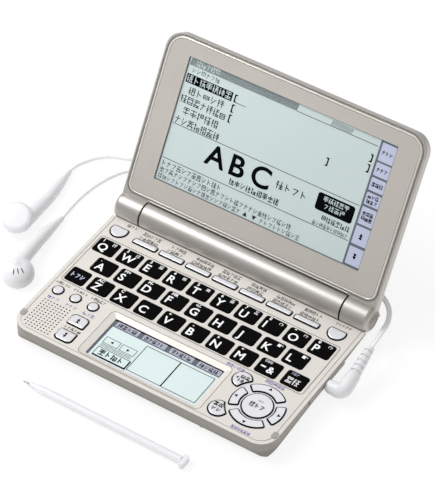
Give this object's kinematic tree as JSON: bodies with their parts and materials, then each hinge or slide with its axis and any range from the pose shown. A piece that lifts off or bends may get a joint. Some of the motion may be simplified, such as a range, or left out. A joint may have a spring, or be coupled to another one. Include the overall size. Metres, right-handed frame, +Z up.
{
  "type": "electronic dictionary",
  "caption": "Pocket electronic dictionary with a hinged screen lid, keyboard base, pen-input sub-screen, stylus and wired earphones.",
  "frame": {"origin": "centre of the flat underside of the base", "axes": "+X to the right of the keyboard, +Y from the user to the hinge, +Z up"},
  "size_m": [0.208, 0.2177, 0.0956],
  "materials": {
    "case_champagne": "satin metallic paint",
    "hinge_metal": "satin",
    "bezel_champagne": "satin",
    "screen_glass": "polished",
    "display": "smooth",
    "silicone": "matte",
    "rubber_grey": "matte",
    "circuit_board": "solder mask",
    "speaker_black": "matte",
    "cell_jacket": "gloss",
    "steel": "bright",
    "white_plastic": "gloss",
    "cord_white": "smooth",
    "key_silver": "satin metallic paint",
    "key_black": "gloss"
  },
  "bodies": {
    "base": {"base_top_case": "case_champagne", "hinge_barrel": "hinge_metal", "base_bottom_case": "case_champagne", "battery_set": "cell_jacket", "main_board": "circuit_board", "keypad_mat": "silicone", "sub_screen_window": "screen_glass", "sub_screen_module": "display", "speaker_driver": "speaker_black", "rubber_feet": "rubber_grey", "case_screws": "steel", "hinge_shafts": "steel", "earphone_plug": "white_plastic", "earphone_mouldings": "white_plastic", "cord_main": "cord_white", "cord_coil": "cord_white", "cord_left": "cord_white", "cord_right": "cord_white"},
    "lid": {"lid_back_cover": "case_champagne", "lid_front_frame": "bezel_champagne", "main_screen_window": "screen_glass", "main_screen_module": "display"},
    "battery_cover": {"battery_cover": "case_champagne"},
    "stylus": {"stylus": "white_plastic"},
    "enter_key": {"enter_key": "key_silver"},
    "cursor_keys": {"cursor_keys": "key_silver"},
    "power_key": {"power_key": "key_silver"},
    "backlight_key": {"backlight_key": "key_silver"},
    "function_keys": {"function_keys": "key_silver"},
    "side_keys": {"side_keys": "key_silver"},
    "voice_back_keys": {"voice_back_keys": "key_silver"},
    "key_q": {"key_q": "key_black"},
    "key_w": {"key_w": "key_black"},
    "key_e": {"key_e": "key_black"},
    "key_r": {"key_r": "key_black"},
    "key_t": {"key_t": "key_black"},
    "key_y": {"key_y": "key_black"},
    "key_u": {"key_u": "key_black"},
    "key_i": {"key_i": "key_black"},
    "key_o": {"key_o": "key_black"},
    "key_p": {"key_p": "key_black"},
    "key_a": {"key_a": "key_black"},
    "key_s": {"key_s": "key_black"},
    "key_d": {"key_d": "key_black"},
    "key_f": {"key_f": "key_black"},
    "key_g": {"key_g": "key_black"},
    "key_h": {"key_h": "key_black"},
    "key_j": {"key_j": "key_black"},
    "key_k": {"key_k": "key_black"},
    "key_l": {"key_l": "key_black"},
    "key_shift": {"key_shift": "key_black"},
    "key_z": {"key_z": "key_black"},
    "key_x": {"key_x": "key_black"},
    "key_c": {"key_c": "key_black"},
    "key_v": {"key_v": "key_black"},
    "key_b": {"key_b": "key_black"},
    "key_n": {"key_n": "key_black"},
    "key_m": {"key_m": "key_black"},
    "key_dash": {"key_dash": "key_black"},
    "key_delete": {"key_delete": "key_black"}
  },
  "joints": [
    {"name": "lid_hinge", "type": "hinge", "parent": "base", "child": "lid", "pos_m": [0, 0.04306, 0.01209], "axis": [1, 0, 0], "range_deg": [-28, 120.67]},
    {"name": "battery_cover_slide", "type": "slide", "parent": "base", "child": "battery_cover", "axis": [0, 1, 0], "range_m": [0, 0.012]},
    {"name": "stylus_lift", "type": "slide", "parent": "base", "child": "stylus", "axis": [0, 0, 1], "range_m": [0, 0.05]},
    {"name": "enter_key_press", "type": "slide", "parent": "base", "child": "enter_key", "axis": [0, 0, -1], "range_m": [0, 0.0008], "stiffness_N_per_m": 400, "springref_m": -0.0005},
    {"name": "cursor_keys_press", "type": "slide", "parent": "base", "child": "cursor_keys", "axis": [0, 0, -1], "range_m": [0, 0.0008], "stiffness_N_per_m": 400, "springref_m": -0.0005},
    {"name": "power_key_press", "type": "slide", "parent": "base", "child": "power_key", "axis": [0, 0, -1], "range_m": [0, 0.0008], "stiffness_N_per_m": 400, "springref_m": -0.0005},
    {"name": "backlight_key_press", "type": "slide", "parent": "base", "child": "backlight_key", "axis": [0, 0, -1], "range_m": [0, 0.0008], "stiffness_N_per_m": 400, "springref_m": -0.0005},
    {"name": "function_keys_press", "type": "slide", "parent": "base", "child": "function_keys", "axis": [0, 0, -1], "range_m": [0, 0.0008], "stiffness_N_per_m": 400, "springref_m": -0.0005},
    {"name": "side_keys_press", "type": "slide", "parent": "base", "child": "side_keys", "axis": [0, 0, -1], "range_m": [0, 0.0008], "stiffness_N_per_m": 400, "springref_m": -0.0005},
    {"name": "voice_back_keys_press", "type": "slide", "parent": "base", "child": "voice_back_keys", "axis": [0, 0, -1], "range_m": [0, 0.0008], "stiffness_N_per_m": 400, "springref_m": -0.0005},
    {"name": "key_q_press", "type": "slide", "parent": "base", "child": "key_q", "axis": [0, 0, -1], "range_m": [0, 0.0008], "stiffness_N_per_m": 400, "springref_m": -0.0005},
    {"name": "key_w_press", "type": "slide", "parent": "base", "child": "key_w", "axis": [0, 0, -1], "range_m": [0, 0.0008], "stiffness_N_per_m": 400, "springref_m": -0.0005},
    {"name": "key_e_press", "type": "slide", "parent": "base", "child": "key_e", "axis": [0, 0, -1], "range_m": [0, 0.0008], "stiffness_N_per_m": 400, "springref_m": -0.0005},
    {"name": "key_r_press", "type": "slide", "parent": "base", "child": "key_r", "axis": [0, 0, -1], "range_m": [0, 0.0008], "stiffness_N_per_m": 400, "springref_m": -0.0005},
    {"name": "key_t_press", "type": "slide", "parent": "base", "child": "key_t", "axis": [0, 0, -1], "range_m": [0, 0.0008], "stiffness_N_per_m": 400, "springref_m": -0.0005},
    {"name": "key_y_press", "type": "slide", "parent": "base", "child": "key_y", "axis": [0, 0, -1], "range_m": [0, 0.0008], "stiffness_N_per_m": 400, "springref_m": -0.0005},
    {"name": "key_u_press", "type": "slide", "parent": "base", "child": "key_u", "axis": [0, 0, -1], "range_m": [0, 0.0008], "stiffness_N_per_m": 400, "springref_m": -0.0005},
    {"name": "key_i_press", "type": "slide", "parent": "base", "child": "key_i", "axis": [0, 0, -1], "range_m": [0, 0.0008], "stiffness_N_per_m": 400, "springref_m": -0.0005},
    {"name": "key_o_press", "type": "slide", "parent": "base", "child": "key_o", "axis": [0, 0, -1], "range_m": [0, 0.0008], "stiffness_N_per_m": 400, "springref_m": -0.0005},
    {"name": "key_p_press", "type": "slide", "parent": "base", "child": "key_p", "axis": [0, 0, -1], "range_m": [0, 0.0008], "stiffness_N_per_m": 400, "springref_m": -0.0005},
    {"name": "key_a_press", "type": "slide", "parent": "base", "child": "key_a", "axis": [0, 0, -1], "range_m": [0, 0.0008], "stiffness_N_per_m": 400, "springref_m": -0.0005},
    {"name": "key_s_press", "type": "slide", "parent": "base", "child": "key_s", "axis": [0, 0, -1], "range_m": [0, 0.0008], "stiffness_N_per_m": 400, "springref_m": -0.0005},
    {"name": "key_d_press", "type": "slide", "parent": "base", "child": "key_d", "axis": [0, 0, -1], "range_m": [0, 0.0008], "stiffness_N_per_m": 400, "springref_m": -0.0005},
    {"name": "key_f_press", "type": "slide", "parent": "base", "child": "key_f", "axis": [0, 0, -1], "range_m": [0, 0.0008], "stiffness_N_per_m": 400, "springref_m": -0.0005},
    {"name": "key_g_press", "type": "slide", "parent": "base", "child": "key_g", "axis": [0, 0, -1], "range_m": [0, 0.0008], "stiffness_N_per_m": 400, "springref_m": -0.0005},
    {"name": "key_h_press", "type": "slide", "parent": "base", "child": "key_h", "axis": [0, 0, -1], "range_m": [0, 0.0008], "stiffness_N_per_m": 400, "springref_m": -0.0005},
    {"name": "key_j_press", "type": "slide", "parent": "base", "child": "key_j", "axis": [0, 0, -1], "range_m": [0, 0.0008], "stiffness_N_per_m": 400, "springref_m": -0.0005},
    {"name": "key_k_press", "type": "slide", "parent": "base", "child": "key_k", "axis": [0, 0, -1], "range_m": [0, 0.0008], "stiffness_N_per_m": 400, "springref_m": -0.0005},
    {"name": "key_l_press", "type": "slide", "parent": "base", "child": "key_l", "axis": [0, 0, -1], "range_m": [0, 0.0008], "stiffness_N_per_m": 400, "springref_m": -0.0005},
    {"name": "key_shift_press", "type": "slide", "parent": "base", "child": "key_shift", "axis": [0, 0, -1], "range_m": [0, 0.0008], "stiffness_N_per_m": 400, "springref_m": -0.0005},
    {"name": "key_z_press", "type": "slide", "parent": "base", "child": "key_z", "axis": [0, 0, -1], "range_m": [0, 0.0008], "stiffness_N_per_m": 400, "springref_m": -0.0005},
    {"name": "key_x_press", "type": "slide", "parent": "base", "child": "key_x", "axis": [0, 0, -1], "range_m": [0, 0.0008], "stiffness_N_per_m": 400, "springref_m": -0.0005},
    {"name": "key_c_press", "type": "slide", "parent": "base", "child": "key_c", "axis": [0, 0, -1], "range_m": [0, 0.0008], "stiffness_N_per_m": 400, "springref_m": -0.0005},
    {"name": "key_v_press", "type": "slide", "parent": "base", "child": "key_v", "axis": [0, 0, -1], "range_m": [0, 0.0008], "stiffness_N_per_m": 400, "springref_m": -0.0005},
    {"name": "key_b_press", "type": "slide", "parent": "base", "child": "key_b", "axis": [0, 0, -1], "range_m": [0, 0.0008], "stiffness_N_per_m": 400, "springref_m": -0.0005},
    {"name": "key_n_press", "type": "slide", "parent": "base", "child": "key_n", "axis": [0, 0, -1], "range_m": [0, 0.0008], "stiffness_N_per_m": 400, "springref_m": -0.0005},
    {"name": "key_m_press", "type": "slide", "parent": "base", "child": "key_m", "axis": [0, 0, -1], "range_m": [0, 0.0008], "stiffness_N_per_m": 400, "springref_m": -0.0005},
    {"name": "key_dash_press", "type": "slide", "parent": "base", "child": "key_dash", "axis": [0, 0, -1], "range_m": [0, 0.0008], "stiffness_N_per_m": 400, "springref_m": -0.0005},
    {"name": "key_delete_press", "type": "slide", "parent": "base", "child": "key_delete", "axis": [0, 0, -1], "range_m": [0, 0.0008], "stiffness_N_per_m": 400, "springref_m": -0.0005}
  ]
}
